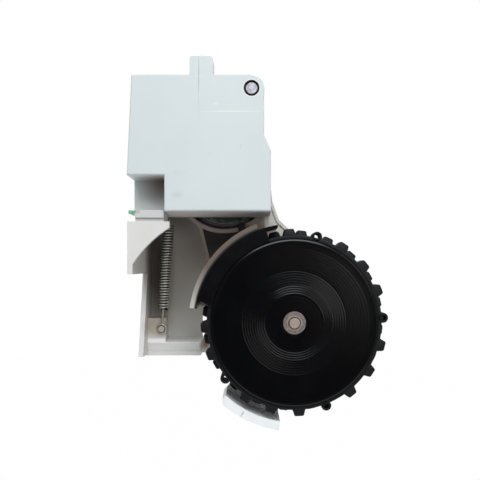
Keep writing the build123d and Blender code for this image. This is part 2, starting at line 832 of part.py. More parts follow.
with BuildPart() as axle_bush_rear:
    with BuildSketch(at(tray_back + 3.0)):
        Circle(bush_radius)
        Circle(axle_radius + running_clearance, mode=Mode.SUBTRACT)
    extrude(amount=3.0 + arm_wall)
axle_bush_rear.part.label = "axle_bush_rear"
export_step(axle_bush_rear.part, "parts/axle_bush_rear.step")

# Wheel hub: a turned black dish with a raised rim, a pocket for the washer and a boss on the axle
with BuildPart() as wheel_hub:
    with BuildSketch(at(wheel_width - 1.5)):
        Circle(rim_radius)
    extrude(amount=wheel_width - 1.5)
    with BuildSketch(at(wheel_width)):
        Circle(rim_radius - rim_wall)
    extrude(amount=wheel_width - web_thickness, mode=Mode.SUBTRACT)
    with BuildSketch(at(wheel_width)):
        Circle(axle_radius + 3.0)
        for turn in range(0, 360, 60):
            with Locations(Location((0, 0), turn)):
                Rectangle(rim_radius - rim_wall + 0.2, 1.2, align=(Align.MIN, Align.CENTER))
    extrude(amount=wheel_width - web_thickness)
    with BuildSketch(at(0.45)):
        Circle(rim_radius - 0.9)
    extrude(amount=1, mode=Mode.SUBTRACT)
    with BuildSketch(at(wheel_width + 1)):
        Circle(axle_radius)
    extrude(amount=wheel_width + 3, mode=Mode.SUBTRACT)
wheel_hub.part.label = "wheel_hub"
export_step(wheel_hub.part, "parts/wheel_hub.step")

# Tyre: two rows of lugs set half a pitch apart; every fourth front lug is a round lobe with a hole
lug_pitch = 360 / lug_count
row_width = (wheel_width - tread_setback - row_gap - 1.0) / 2
row_backs = (tread_setback + row_width, tread_setback + 2 * row_width + row_gap)
with BuildPart() as tyre:
    with BuildSketch(at(row_backs[1])):
        Circle(tyre_floor_radius)
        Circle(rim_radius, mode=Mode.SUBTRACT)
    extrude(amount=row_backs[1] - tread_setback)
    for row, back in enumerate(row_backs):
        with BuildSketch(at(back)):
            for i in range(lug_count):
                turn = lug_phase + (i + row / 2) * lug_pitch
                if row == 0 and i % 4 == 0:
                    with Locations(polar(wheel_radius - lobe_radius, turn)):
                        Circle(lobe_radius)
                        Circle(lobe_hole_radius, mode=Mode.SUBTRACT)
                else:
                    with Locations(Location((0, 0), turn)):
                        Polygon(
                            (tyre_floor_radius - 0.3, -lug_base / 2),
                            (wheel_radius - 0.9, -lug_tip / 2 - 0.25),
                            (wheel_radius - 0.1, -lug_tip / 2 + 0.4),
                            (wheel_radius, 0),
                            (wheel_radius - 0.1, lug_tip / 2 - 0.4),
                            (wheel_radius - 0.9, lug_tip / 2 + 0.25),
                            (tyre_floor_radius - 0.3, lug_base / 2),
                            align=None,
                        )
        extrude(amount=row_width)
tyre.part.label = "tyre"
export_step(tyre.part, "parts/tyre.step")

# Washer on the wheel's face
with BuildPart() as hub_washer:
    with BuildSketch(at(0.45)):
        Circle(washer_radius)
        Circle(axle_radius, mode=Mode.SUBTRACT)
    extrude(amount=washer_thickness)
    chamfer(hub_washer.edges().group_by(Axis.Y)[0].sort_by(SortBy.RADIUS)[-1], 0.2)
hub_washer.part.label = "hub_washer"
export_step(hub_washer.part, "parts/hub_washer.step")

# Tension spring: a close-wound body of one ridge per turn, with a hook at each end
spring_pitch = (spring_head_z - spring_foot_z) / spring_turns
lean = atan2(lug_x - post_x, lug_z - post_z)
spring_axis = Plane(
    origin=(hub_x + post_x, spring_depth - seat_depth, hub_z + post_z),
    x_dir=(cos(lean), 0, -sin(lean)),
    z_dir=(sin(lean), 0, cos(lean)),
)
body_start = spring_foot_z - post_z
hook_reach = hypot(lug_x - post_x, lug_z - post_z)
loop_radius = peg_radius + spring_wire / 2 + 0.1
with BuildPart() as spring_turn:
    with BuildSketch():
        RegularPolygon(spring_radius, turn_sides)
    extrude(amount=spring_pitch / 2, taper=degrees(atan2(spring_wire / 2, spring_pitch / 2)))
    mirror(about=Plane.XY)
with BuildPart() as tension_spring:
    with Locations(*[spring_axis.offset(body_start + (i + 0.5) * spring_pitch) for i in range(spring_turns)]):
        add(spring_turn.part)
    with BuildSketch(spring_axis.offset(loop_radius)):
        Circle(spring_wire / 2)
    extrude(amount=body_start - loop_radius)
    with BuildSketch(spring_axis.offset(body_start + spring_turns * spring_pitch)):
        Circle(spring_wire / 2)
    extrude(amount=hook_reach - body_start - spring_turns * spring_pitch - loop_radius)
    with BuildSketch(at(spring_depth + spring_wire / 2)):
        with Locations((post_x, post_z), (lug_x, lug_z)):
            Circle(loop_radius + spring_wire / 2)
            Circle(loop_radius - spring_wire / 2, mode=Mode.SUBTRACT)
    extrude(amount=spring_wire)
tension_spring.part.label = "tension_spring"
export_step(tension_spring.part, "parts/tension_spring.step")

# Machine screws: two hold the motor, three close the gearbox and two hold the cover to the frame
with BuildPart() as motor_screws:
    with BuildSketch(at(arm_back_depth + 0.9, motor_x, motor_z)):
        with Locations((0, motor_screw_spread), (0, -motor_screw_spread)):
            Circle(screw_head_radius - 0.2)
    extrude(amount=0.9)
    with BuildSketch(at(arm_back_depth, motor_x, motor_z)):
        with Locations((0, motor_screw_spread), (0, -motor_screw_spread)):
            Circle(screw_radius)
    extrude(amount=4.0)
motor_screws.part.label = "motor_screws"
export_step(motor_screws.part, "parts/motor_screws.step")

with BuildPart() as arm_screws:
    with BuildSketch(at(tray_back + screw_head_height)):
        with Locations(*arm_screw_places):
            Circle(screw_head_radius)
    extrude(amount=screw_head_height)
    with BuildSketch(at(tray_back)):
        with Locations(*arm_screw_places):
            Circle(screw_radius)
    extrude(amount=tray_depth + arm_screw_bite)
arm_screws.part.label = "arm_screws"
export_step(arm_screws.part, "parts/arm_screws.step")

cover_screw_seat = seat_depth - screw_head_height
with BuildPart() as cover_screws:
    with BuildSketch(at(seat_depth - 0.2)):
        with Locations(*cover_screw_places):
            Circle(screw_head_radius)
    extrude(amount=screw_head_height - 0.2 + 0.2)
    with BuildSketch(at(cover_screw_seat)):
        with Locations(*cover_screw_places):
            Circle(screw_radius)
    extrude(amount=cover_screw_seat - cover_back + cover_screw_bite - 0.5)
cover_screws.part.label = "cover_screws"
export_step(cover_screws.part, "parts/cover_screws.step")

# Spring clip in a groove behind the tray keeps the axle in place
with BuildPart() as axle_clip:
    with BuildSketch(at(axle_back - 0.3)):
        Circle(axle_radius + 1.4)
        Circle(axle_radius, mode=Mode.SUBTRACT)
        with Locations((0, -axle_radius - 1.4)):
            Rectangle(1.6 * axle_radius, 2.6, mode=Mode.SUBTRACT)
    extrude(amount=0.6)
axle_clip.part.label = "axle_clip"
export_step(axle_clip.part, "parts/axle_clip.step")

# Rubber stop on the side wall that the motor collar meets when the arm is up
collar_up_x, collar_up_z = turned(motor_x, motor_z, travel_deg)
stop_height = 5.0
wall_lean = (cover_left_top - cover_left) / (cover_top - notch_top)
stop_left = cover_left + frame_wall + wall_lean * (collar_up_z + stop_height / 2 - notch_top)
stop_right = collar_up_x - collar_radius - 0.3
with BuildPart() as bump_stop:
    with BuildSketch(at(arm_back_depth + 2.0)) as stop:
        with Locations((stop_left, collar_up_z)):
            Rectangle(stop_right - stop_left, stop_height, align=(Align.MIN, Align.CENTER))
        fillet(stop.vertices().group_by(Axis.X)[-1], min(0.8, (stop_right - stop_left) / 3))
    extrude(amount=4.5)
bump_stop.part.label = "bump_stop"
export_step(bump_stop.part, "parts/bump_stop.step")

# Wiring connector on the shelf under the notch, with a small circuit board let into its corner
connector_left = cover_left + 2.7
connector_top = cover_bottom + 0.9
board_edge = connector_left + 1.8
with BuildPart() as connector:
    with BuildSketch(at(notch_depth - 1.0)):
        with Locations((connector_left, flange_top)):
            Rectangle(
                notch_right - 0.7 - connector_left, connector_top - flange_top, align=(Align.MIN, Align.MIN)
            )
    extrude(amount=notch_depth - 2.0)
    with BuildSketch(at(2.2)):
        with Locations((connector_left, flange_top)):
            Rectangle(notch_right - connector_left, 1.5, align=(Align.MIN, Align.MIN))
    extrude(amount=2, mode=Mode.SUBTRACT)
    with BuildSketch(at(notch_depth)):
        with Locations((connector_left - 1, connector_top - board_thickness)):
            Rectangle(board_edge - connector_left + 1, 3, align=(Align.MIN, Align.MIN))
    extrude(amount=notch_depth, mode=Mode.SUBTRACT)
connector.part.label = "connector"
export_step(connector.part, "parts/connector.step")

with BuildPart() as switch_board:
    with BuildSketch(at(notch_depth - 1.0)):
        with Locations((cover_left, connector_top - board_thickness)):
            Rectangle(board_edge - cover_left, board_thickness, align=(Align.MIN, Align.MIN))
    extrude(amount=notch_depth - 4.0)
switch_board.part.label = "switch_board"
export_step(switch_board.part, "parts/switch_board.step")
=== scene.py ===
"""The wheel module dressed for its portrait: finishes for every moulded, turned and stamped piece, the wound
spring, the skimmed wheel and its lugged tyre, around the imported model. Lengths are in metres."""

from math import atan2, cos, hypot, pi, radians, sin

import bpy
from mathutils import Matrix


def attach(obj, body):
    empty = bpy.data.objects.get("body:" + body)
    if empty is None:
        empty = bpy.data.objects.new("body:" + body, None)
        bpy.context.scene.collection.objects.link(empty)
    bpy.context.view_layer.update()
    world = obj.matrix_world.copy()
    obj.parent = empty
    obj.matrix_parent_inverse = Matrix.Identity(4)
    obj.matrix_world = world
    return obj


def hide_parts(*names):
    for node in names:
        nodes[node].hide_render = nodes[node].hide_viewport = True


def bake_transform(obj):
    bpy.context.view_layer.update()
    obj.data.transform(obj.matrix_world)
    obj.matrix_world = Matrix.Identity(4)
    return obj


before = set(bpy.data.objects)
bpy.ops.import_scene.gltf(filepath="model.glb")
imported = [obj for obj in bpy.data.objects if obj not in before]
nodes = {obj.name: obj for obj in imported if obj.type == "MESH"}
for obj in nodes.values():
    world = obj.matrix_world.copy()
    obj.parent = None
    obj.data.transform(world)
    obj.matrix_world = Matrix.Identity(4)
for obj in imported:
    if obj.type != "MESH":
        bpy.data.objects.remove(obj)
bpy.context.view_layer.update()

# The view: straight at the wheel's face from about 260 mm, as the photograph was taken.
# The picture is 480 pixels square, and one pixel is 0.37 mm at the wheel's face.
picture_side = 480
pixel = 0.00037
axis_pixel = (250, 265)
hub_pixel = (294.6, 323)
hub_place = (0.039, -0.052, -0.042)
eye_distance = 0.260
sensor_width = 36.0
camera_data = bpy.data.cameras.new("camera")
camera_data.sensor_width = sensor_width
camera_data.lens = sensor_width * eye_distance / (picture_side * pixel)
camera_data.shift_x = (picture_side / 2 - axis_pixel[0]) / picture_side
camera_data.shift_y = (axis_pixel[1] - picture_side / 2) / picture_side
camera_data.clip_start = 0.01
camera = bpy.data.objects.new("camera", camera_data)
camera.location = (
    hub_place[0] + (axis_pixel[0] - hub_pixel[0]) * pixel,
    hub_place[1] - eye_distance,
    hub_place[2] + (hub_pixel[1] - axis_pixel[1]) * pixel,
)
camera.rotation_euler = (pi / 2, 0, 0)
bpy.context.scene.collection.objects.link(camera)
bpy.context.scene.camera = camera
bpy.context.scene.view_settings.view_transform = "Standard"

# The studio: a white room with weak, warm light of its own. Along Y it fades towards the photographer's side.
# The eye and clear things see plain white all round, and polished things see it behind the part.
room_tint = (1.0, 0.95, 0.92, 1)
room_strength = 0.56
room_before = 0.04
fade_start, fade_end = -0.45, -0.95
white_start, white_full = -0.35, 0.2
world = bpy.data.worlds.new("studio")
bpy.context.scene.world = world
world.use_nodes = True
world_nodes = world.node_tree.nodes
world_links = world.node_tree.links
room_light = world_nodes["Background"]
room_light.inputs["Color"].default_value = room_tint
plain_white = world_nodes.new("ShaderNodeBackground")
plain_white.inputs["Color"].default_value = (1, 1, 1, 1)
ray_kind = world_nodes.new("ShaderNodeLightPath")
direction = world_nodes.new("ShaderNodeTexCoord")
split = world_nodes.new("ShaderNodeSeparateXYZ")
room_level = world_nodes.new("ShaderNodeMapRange")
room_level.inputs["From Min"].default_value = fade_end
room_level.inputs["From Max"].default_value = fade_start
room_level.inputs["To Min"].default_value = room_before
room_level.inputs["To Max"].default_value = room_strength
behind = world_nodes.new("ShaderNodeMapRange")
behind.inputs["From Min"].default_value = white_start
behind.inputs["From Max"].default_value = white_full
mirrored = world_nodes.new("ShaderNodeMath")
mirrored.operation = "MULTIPLY"
seen = world_nodes.new("ShaderNodeMath")
seen.operation = "ADD"
through = world_nodes.new("ShaderNodeMath")
through.operation = "ADD"
through.use_clamp = True
room_or_white = world_nodes.new("ShaderNodeMixShader")
world_links.new(split.outputs["Y"], room_level.inputs["Value"])
world_links.new(room_level.outputs["Result"], room_light.inputs["Strength"])
world_links.new(direction.outputs["Generated"], split.inputs["Vector"])
world_links.new(split.outputs["Y"], behind.inputs["Value"])
world_links.new(behind.outputs["Result"], mirrored.inputs[0])
world_links.new(ray_kind.outputs["Is Glossy Ray"], mirrored.inputs[1])
world_links.new(ray_kind.outputs["Is Camera Ray"], seen.inputs[0])
world_links.new(mirrored.outputs["Value"], seen.inputs[1])
world_links.new(seen.outputs["Value"], through.inputs[0])
world_links.new(ray_kind.outputs["Is Transmission Ray"], through.inputs[1])
world_links.new(through.outputs["Value"], room_or_white.inputs["Fac"])
world_links.new(room_light.outputs["Background"], room_or_white.inputs[1])
world_links.new(plain_white.outputs["Background"], room_or_white.inputs[2])
world_links.new(room_or_white.outputs["Shader"], world_nodes["World Output"].inputs["Surface"])

# A white sheet lies on the studio's floor, well below the part, which hangs as its chassis holds it.
# The sheet is as white as the room to the eye, and still takes the part's soft shadow.
floor_side = 1.0
floor_place = (0, 0.27, -0.16)
paper_white = 0.9
white_share = 0.992
bpy.ops.object.select_all(action="DESELECT")
bpy.ops.mesh.primitive_plane_add(size=floor_side, location=floor_place)
floor = bpy.context.object
floor.name = "floor"
floor_paint = bpy.data.materials.new("floor_paint")
floor_paint.use_nodes = True
floor_tree = floor_paint.node_tree
paper = floor_tree.nodes["Principled BSDF"]
paper.inputs["Base Color"].default_value = (paper_white, paper_white, paper_white, 1)
paper.inputs["Roughness"].default_value = 0.9
paper.inputs["Specular IOR Level"].default_value = 0.0
glow = floor_tree.nodes.new("ShaderNodeEmission")
glow.inputs["Color"].default_value = (1, 1, 1, 1)
floor_ray = floor_tree.nodes.new("ShaderNodeLightPath")
eye_or_glass = floor_tree.nodes.new("ShaderNodeMath")
eye_or_glass.operation = "ADD"
or_mirror = floor_tree.nodes.new("ShaderNodeMath")
or_mirror.operation = "ADD"
or_mirror.use_clamp = True
glow_share = floor_tree.nodes.new("ShaderNodeMath")
glow_share.operation = "MULTIPLY"
glow_share.inputs[1].default_value = white_share
paper_or_glow = floor_tree.nodes.new("ShaderNodeMixShader")
floor_tree.links.new(floor_ray.outputs["Is Camera Ray"], eye_or_glass.inputs[0])
floor_tree.links.new(floor_ray.outputs["Is Transmission Ray"], eye_or_glass.inputs[1])
floor_tree.links.new(eye_or_glass.outputs["Value"], or_mirror.inputs[0])
floor_tree.links.new(floor_ray.outputs["Is Glossy Ray"], or_mirror.inputs[1])
floor_tree.links.new(or_mirror.outputs["Value"], glow_share.inputs[0])
floor_tree.links.new(glow_share.outputs["Value"], paper_or_glow.inputs["Fac"])
floor_tree.links.new(paper.outputs["BSDF"], paper_or_glow.inputs[1])
floor_tree.links.new(glow.outputs["Emission"], paper_or_glow.inputs[2])
floor_surface = floor_tree.nodes["Material Output"].inputs["Surface"]
floor_tree.links.new(paper_or_glow.outputs["Shader"], floor_surface)
floor.data.materials.append(floor_paint)

# Two round lamps: a broad cool one above the camera, and a weaker warm one at the right.
# Each has its place, the point it looks at, its width, its power and its tint.
for lamp_name, place, aim, size, power, tint in (
    ("key_lamp", (0.03, -0.80, 0.54), (0.0, -0.03, -0.02), 0.6, 5.2, (0.92, 0.99, 1.0)),
    ("fill_lamp", (0.42, -0.92, 0.13), (0.03, -0.05, -0.04), 0.5, 1.8, (1.0, 0.95, 0.92)),
):
    lamp_data = bpy.data.lights.new(lamp_name, "AREA")
    lamp_data.shape = "DISK"
    lamp_data.size = size
    lamp_data.energy = power
    lamp_data.color = tint
    lamp = bpy.data.objects.new(lamp_name, lamp_data)
    lamp.location = place
    away = [place[i] - aim[i] for i in range(3)]
    lamp.rotation_euler = (atan2(hypot(away[0], away[1]), away[2]), 0, atan2(away[0], -away[1]))
    bpy.context.scene.collection.objects.link(lamp)


# Housing cover: cool grey-white ABS, injection moulded with a fine spark-eroded grain, screwed to the frame.
# A parting line runs down from the tongue, handling has left a few scuffs, and a painted highlight lies along
# the edge of a shallow step.
def moulded_plastic(name, colour, roughness, grain, mottle=0.02, shine=0.5):
    """Material of a moulded plastic or rubber: spark-eroded grain, faint mottling and uneven gloss."""
    cloud_scale, pit_scale, pit_depth = 55, 2600, 0.00005
    material = bpy.data.materials.new(name)
    material.use_nodes = True
    tree = material.node_tree
    shader = tree.nodes["Principled BSDF"]
    shader.inputs["Specular IOR Level"].default_value = shine
    place = tree.nodes.new("ShaderNodeTexCoord")
    cloud = tree.nodes.new("ShaderNodeTexNoise")
    cloud.inputs["Scale"].default_value = cloud_scale
    cloud.inputs["Detail"].default_value = 4
    tree.links.new(place.outputs["Object"], cloud.inputs["Vector"])
    tint = tree.nodes.new("ShaderNodeValToRGB")
    tint.color_ramp.elements[0].position = 0.3
    tint.color_ramp.elements[0].color = (*[c * (1 - mottle) for c in colour], 1)
    tint.color_ramp.elements[1].position = 0.7
    tint.color_ramp.elements[1].color = (*[min(1, c * (1 + mottle)) for c in colour], 1)
    tree.links.new(cloud.outputs["Fac"], tint.inputs["Fac"])
    tree.links.new(tint.outputs["Color"], shader.inputs["Base Color"])
    pits = tree.nodes.new("ShaderNodeTexNoise")
    pits.inputs["Scale"].default_value = pit_scale
    pits.inputs["Detail"].default_value = 2
    tree.links.new(place.outputs["Object"], pits.inputs["Vector"])
    relief = tree.nodes.new("ShaderNodeBump")
    relief.inputs["Strength"].default_value = grain
    relief.inputs["Distance"].default_value = pit_depth
    tree.links.new(pits.outputs["Fac"], relief.inputs["Height"])
    tree.links.new(relief.outputs["Normal"], shader.inputs["Normal"])
    sheen_patch = tree.nodes.new("ShaderNodeMapRange")
    sheen_patch.inputs["To Min"].default_value = roughness - 0.05
    sheen_patch.inputs["To Max"].default_value = roughness + 0.07
    tree.links.new(cloud.outputs["Fac"], sheen_patch.inputs["Value"])
    tree.links.new(sheen_patch.outputs["Result"], shader.inputs["Roughness"])
    return material


def lay_colour(material, share, colour):
    """Mixes a colour over the material's own, by a node output that gives its share."""
    tree = material.node_tree
    base = tree.nodes["Principled BSDF"].inputs["Base Color"]
    layer = tree.nodes.new("ShaderNodeMix")
    layer.data_type = "RGBA"
    layer.inputs["B"].default_value = (*colour, 1)
    tree.links.new(share, layer.inputs["Factor"])
    tree.links.new(base.links[0].from_socket, layer.inputs["A"])
    tree.links.new(layer.outputs["Result"], base)


def stain(material, centre, reach, colour, strength, edge=0.0, limits=()):
    """Lays one soft spot, or with a high edge one crisp mark, of a colour on the material, in an ellipsoid.

    Each limit, such as ("Y", "LESS_THAN", 0), keeps the spot on one side of a plane."""
    tree = material.node_tree
    place = tree.nodes.new("ShaderNodeTexCoord")
    fit = tree.nodes.new("ShaderNodeMapping")
    fit.inputs["Scale"].default_value = [1 / r for r in reach]
    fit.inputs["Location"].default_value = [-c / r for c, r in zip(centre, reach)]
    ball = tree.nodes.new("ShaderNodeTexGradient")
    ball.gradient_type = "SPHERICAL"
    fade = tree.nodes.new("ShaderNodeMapRange")
    fade.inputs["From Max"].default_value = 1 - edge
    fade.inputs["To Max"].default_value = strength
    tree.links.new(place.outputs["Object"], fit.inputs["Vector"])
    tree.links.new(fit.outputs["Vector"], ball.inputs["Vector"])
    tree.links.new(ball.outputs["Fac"], fade.inputs["Value"])
    share = fade.outputs["Result"]
    for axis, side, value in limits:
        parts = tree.nodes.new("ShaderNodeSeparateXYZ")
        beyond = tree.nodes.new("ShaderNodeMath")
        beyond.operation = side
        beyond.inputs[1].default_value = value
        kept = tree.nodes.new("ShaderNodeMath")
        kept.operation = "MULTIPLY"
        tree.links.new(place.outputs["Object"], parts.inputs["Vector"])
        tree.links.new(parts.outputs[axis], beyond.inputs[0])
        tree.links.new(share, kept.inputs[0])
        tree.links.new(beyond.outputs["Value"], kept.inputs[1])
        share = kept.outputs["Value"]
    lay_colour(material, share, colour)


def grime(material, colour, strength, scale, low=0.5, high=0.8):
    """Lays settled dirt on the material in patches."""
    tree = material.node_tree
    place = tree.nodes.new("ShaderNodeTexCoord")
    dust = tree.nodes.new("ShaderNodeTexNoise")
    dust.inputs["Scale"].default_value = scale
    dust.inputs["Detail"].default_value = 6
    share = tree.nodes.new("ShaderNodeMapRange")
    share.inputs["From Min"].default_value = low
    share.inputs["From Max"].default_value = high
    share.inputs["To Max"].default_value = strength
    tree.links.new(place.outputs["Object"], dust.inputs["Vector"])
    tree.links.new(dust.outputs["Fac"], share.inputs["Value"])
    lay_colour(material, share.outputs["Result"], colour)


def finish(material, *names):
    """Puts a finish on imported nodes."""
    for name in names:
        nodes[name].data.materials.clear()
        nodes[name].data.materials.append(material)


cover_face = -0.055
parting_x = 0.0037
pivot_place = (0.02305, cover_face, 0.04426)
cover_white = moulded_plastic("cover_white", (0.695, 0.755, 0.78), 0.42, 0.25)
patch_white = (0.72, 0.785, 0.80)
line_grey = (0.45, 0.48, 0.52)
step_highlight = (0.93, 0.95, 0.95)
chip_white = (0.86, 0.88, 0.88)
scuff_grey = (0.5, 0.53, 0.54)

# The paler patch on the right, the parting line, dark at the tongue and faint below, a painted highlight
# along the edge of a shallow step, and a pale chip just above it
stain(cover_white, (0.0200, cover_face, 0.010), (0.0235, 0.02, 0.060), patch_white, 0.45)
stain(cover_white, (parting_x, cover_face, 0.049), (0.00022, 0.004, 0.0078), line_grey, 0.9, 0.45)
stain(cover_white, (parting_x, cover_face, 0.040), (0.00035, 0.004, 0.012), line_grey, 0.25)
stain(cover_white, (0.0158, cover_face, 0.0357), (0.0135, 0.002, 0.0002), step_highlight, 0.9, 0.4)
stain(cover_white, (0.0098, cover_face, 0.0384), (0.0013, 0.002, 0.0006), chip_white, 0.8)

# Scuffs on the face: where each lies, how far it reaches and how strong it is
for scuff_x, scuff_z, scuff_width, scuff_height, scuff_depth, strength in (
    (-0.0041, 0.0051, 0.0028, 0.0015, 0.003, 0.45),
    (-0.0035, 0.0133, 0.0035, 0.0012, 0.003, 0.16),
    (0.0190, 0.0227, 0.0004, 0.0011, 0.002, 0.4),
    (0.0076, 0.0203, 0.0005, 0.0004, 0.002, 0.4),
    (0.0112, 0.0172, 0.0006, 0.0003, 0.002, 0.3),
):
    scuff_reach = (scuff_width, scuff_depth, scuff_height)
    stain(cover_white, (scuff_x, cover_face, scuff_z), scuff_reach, scuff_grey, strength)

# A dark tick on the left edge, and the pivot's bore: a painted highlight on its chamfer, and painted shade in
# the bore inside it
stain(cover_white, (-0.0213, -0.05, 0.0215), (0.0006, 0.004, 0.0014), (0.12, 0.1, 0.1), 0.9, 0.3)
stain(cover_white, pivot_place, (0.0034, 0.01, 0.0034), (0.9, 0.92, 0.92), 0.9, 0.9)
stain(cover_white, pivot_place, (0.00305, 0.01, 0.00305), (0.012, 0.012, 0.016), 1.0, 0.93)

# Painted light brightens the notch's floor and painted shade darkens its roof. Painted warm light makes the
# cover's underside a lighter, warmer white.
notch_middle = -0.0390
stain(cover_white, (-0.0150, notch_middle, 0.0), (0.0100, 0.0156, 0.0060), (0.95, 0.94, 0.93), 0.95)
stain(cover_white, (-0.0110, notch_middle, 0.0125), (0.0120, 0.0156, 0.0110), (0.28, 0.22, 0.20), 1.0, 0.2)
stain(cover_white, (0.0050, notch_middle, -0.0040), (0.0600, 0.0158, 0.0048), (0.92, 0.80, 0.76), 0.95, 0.6)
finish(cover_white, "housing_cover")

# Back frame: the same ABS left off-white, a little yellowed, with the stop and the spring's peg on it.
# Dust lies on it in patches, and the spring's foot is browner. Painted shade darkens the inside of the plate,
# deepest by the wall, on the flange below the cover and in the rail's corner, and a painted highlight lies
# along the rail's top edge.
frame_white = moulded_plastic("frame_white", (0.76, 0.755, 0.745), 0.48, 0.25, mottle=0.03)
grime(frame_white, (0.50, 0.45, 0.40), 0.2, 110)
plate_shade = (0.40, 0.375, 0.34)
wall_shade = (0.10, 0.082, 0.07)
foot_brown = (0.46, 0.40, 0.33)
rail_highlight = (0.97, 0.97, 0.97)
corner_shade = (0.25, 0.17, 0.13)
inside = (("Y", "LESS_THAN", -0.0012), ("X", "GREATER_THAN", -0.0226))
rail_depth = -0.0120
# Each row: place, reach, colour, strength, edge. In turn: painted shade on the plate, by the wall and on the
# flange below the cover, the browner foot, the rail's painted highlight, and painted shade in the rail's
# corner
for place, reach, colour, strength, edge in (
    ((-0.0050, 0.0, -0.026), (0.045, 0.011, 0.040), plate_shade, 0.9, 0.4),
    ((-0.0190, -0.0040, -0.0200), (0.0090, 0.0185, 0.0330), wall_shade, 0.95, 0.3),
    ((-0.0085, -0.0240, -0.0010), (0.0165, 0.0300, 0.0125), wall_shade, 0.6, 0.35),
    ((-0.0168, rail_depth, -0.0465), (0.0070, 0.0200, 0.0062), foot_brown, 0.9, 0.5),
    ((-0.0070, rail_depth, -0.0528), (0.0300, 0.0040, 0.0012), rail_highlight, 1.0, 0.6),
    ((0.0032, rail_depth, -0.0551), (0.0026, 0.0200, 0.0038), corner_shade, 1.0, 0.5),
):
    stain(frame_white, place, reach, colour, strength, edge, inside)
finish(frame_white, "frame_back")

# Steel fittings: the ground pivot pin and gear pins, zinc-plated screws with a darker, oily bloom,
# and the wheel's axle and washer, which were faced on a lathe and show its rings.
def bare_metal(name, colour, roughness, marks=None, depth=0.3, rings_at=None):
    """Material of a worked metal: scratches drawn out along an axis, or a lathe's rings round a centre."""
    cloud_scale, ring_scale, cut_depth, darkest, palest = 420, 700, 0.00004, 0.78, 1.12
    material = bpy.data.materials.new(name)
    material.use_nodes = True
    tree = material.node_tree
    shader = tree.nodes["Principled BSDF"]
    shader.inputs["Metallic"].default_value = 1.0
    place = tree.nodes.new("ShaderNodeTexCoord")
    cloud = tree.nodes.new("ShaderNodeTexNoise")
    cloud.inputs["Scale"].default_value = cloud_scale
    cloud.inputs["Detail"].default_value = 5
    tree.links.new(place.outputs["Object"], cloud.inputs["Vector"])
    tint = tree.nodes.new("ShaderNodeValToRGB")
    tint.color_ramp.elements[0].position = 0.32
    tint.color_ramp.elements[0].color = (*[c * darkest for c in colour], 1)
    tint.color_ramp.elements[1].position = 0.68
    tint.color_ramp.elements[1].color = (*[min(1, c * palest) for c in colour], 1)
    tree.links.new(cloud.outputs["Fac"], tint.inputs["Fac"])
    tree.links.new(tint.outputs["Color"], shader.inputs["Base Color"])
    fit = tree.nodes.new("ShaderNodeMapping")
    tree.links.new(place.outputs["Object"], fit.inputs["Vector"])
    if rings_at:
        fit.inputs["Location"].default_value = [-c for c in rings_at]
        cuts = tree.nodes.new("ShaderNodeTexWave")
        cuts.wave_type = "RINGS"
        cuts.rings_direction = "Y"
        cuts.inputs["Scale"].default_value = ring_scale
        cuts.inputs["Distortion"].default_value = 0.4
    else:
        fit.inputs["Scale"].default_value = marks
        cuts = tree.nodes.new("ShaderNodeTexNoise")
        cuts.inputs["Scale"].default_value = 1
        cuts.inputs["Detail"].default_value = 3
    tree.links.new(fit.outputs["Vector"], cuts.inputs["Vector"])
    relief = tree.nodes.new("ShaderNodeBump")
    relief.inputs["Strength"].default_value = depth
    relief.inputs["Distance"].default_value = cut_depth
    tree.links.new(cuts.outputs["Fac"], relief.inputs["Height"])
    tree.links.new(relief.outputs["Normal"], shader.inputs["Normal"])
    bloom = tree.nodes.new("ShaderNodeMapRange")
    bloom.inputs["To Min"].default_value = roughness - 0.08
    bloom.inputs["To Max"].default_value = roughness + 0.12
    tree.links.new(cloud.outputs["Fac"], bloom.inputs["Value"])
    tree.links.new(bloom.outputs["Result"], shader.inputs["Roughness"])
    return material


pin_steel = bare_metal("pin_steel", (0.44, 0.43, 0.47), 0.5, (2500, 300, 2500))
screw_steel = bare_metal("screw_steel", (0.35, 0.35, 0.36), 0.4, (1200, 1200, 1200))
# Painted shade darkens the pin round its face, where the bore shadows it, and the face keeps the steel's own
# tone
stain(pin_steel, pivot_place, (0.0060, 0.01, 0.0060), (0.03, 0.03, 0.035), 1.0, 0.9)
stain(pin_steel, pivot_place, (0.0023, 0.01, 0.0023), (0.46, 0.45, 0.49), 1.0, 0.9)
grime(pin_steel, (0.25, 0.24, 0.28), 0.8, 1500, 0.45, 0.6)
finish(pin_steel, "pivot_pin")
finish(screw_steel, "gear_pins", "cover_screws", "motor_screws", "arm_screws")

# Three discs, one on the other: the washer's worn band, the dark gap, and the axle's end
lathe_steel = bare_metal("lathe_steel", (0.25, 0.21, 0.205), 0.42, rings_at=hub_place)
for disc_reach, disc_colour in (
    (0.0030, (0.40, 0.34, 0.31)),
    (0.00245, (0.03, 0.025, 0.025)),
    (0.00205, (0.50, 0.41, 0.36)),
):
    stain(lathe_steel, hub_place, (disc_reach, 0.01, disc_reach), disc_colour, 1.0, 0.9)
grime(lathe_steel, (0.55, 0.50, 0.48), 0.5, 1800, 0.5, 0.62)
finish(lathe_steel, "wheel_axle", "hub_washer", "axle_clip")

# Rubber: the stop that the raised arm meets, and the grommet where the motor's leads leave the collar.
# The stop is dusty and matt, and the grommet is bluish black with a soft gloss.
stop_rubber = moulded_plastic("stop_rubber", (0.035, 0.035, 0.037), 0.6, 0.6, mottle=0.15, shine=0.3)
grime(stop_rubber, (0.16, 0.14, 0.12), 0.5, 260)
finish(stop_rubber, "bump_stop")
lead_rubber = moulded_plastic("lead_rubber", (0.012, 0.016, 0.028), 0.45, 0.5, mottle=0.2, shine=0.4)
finish(lead_rubber, "lead_grommet")

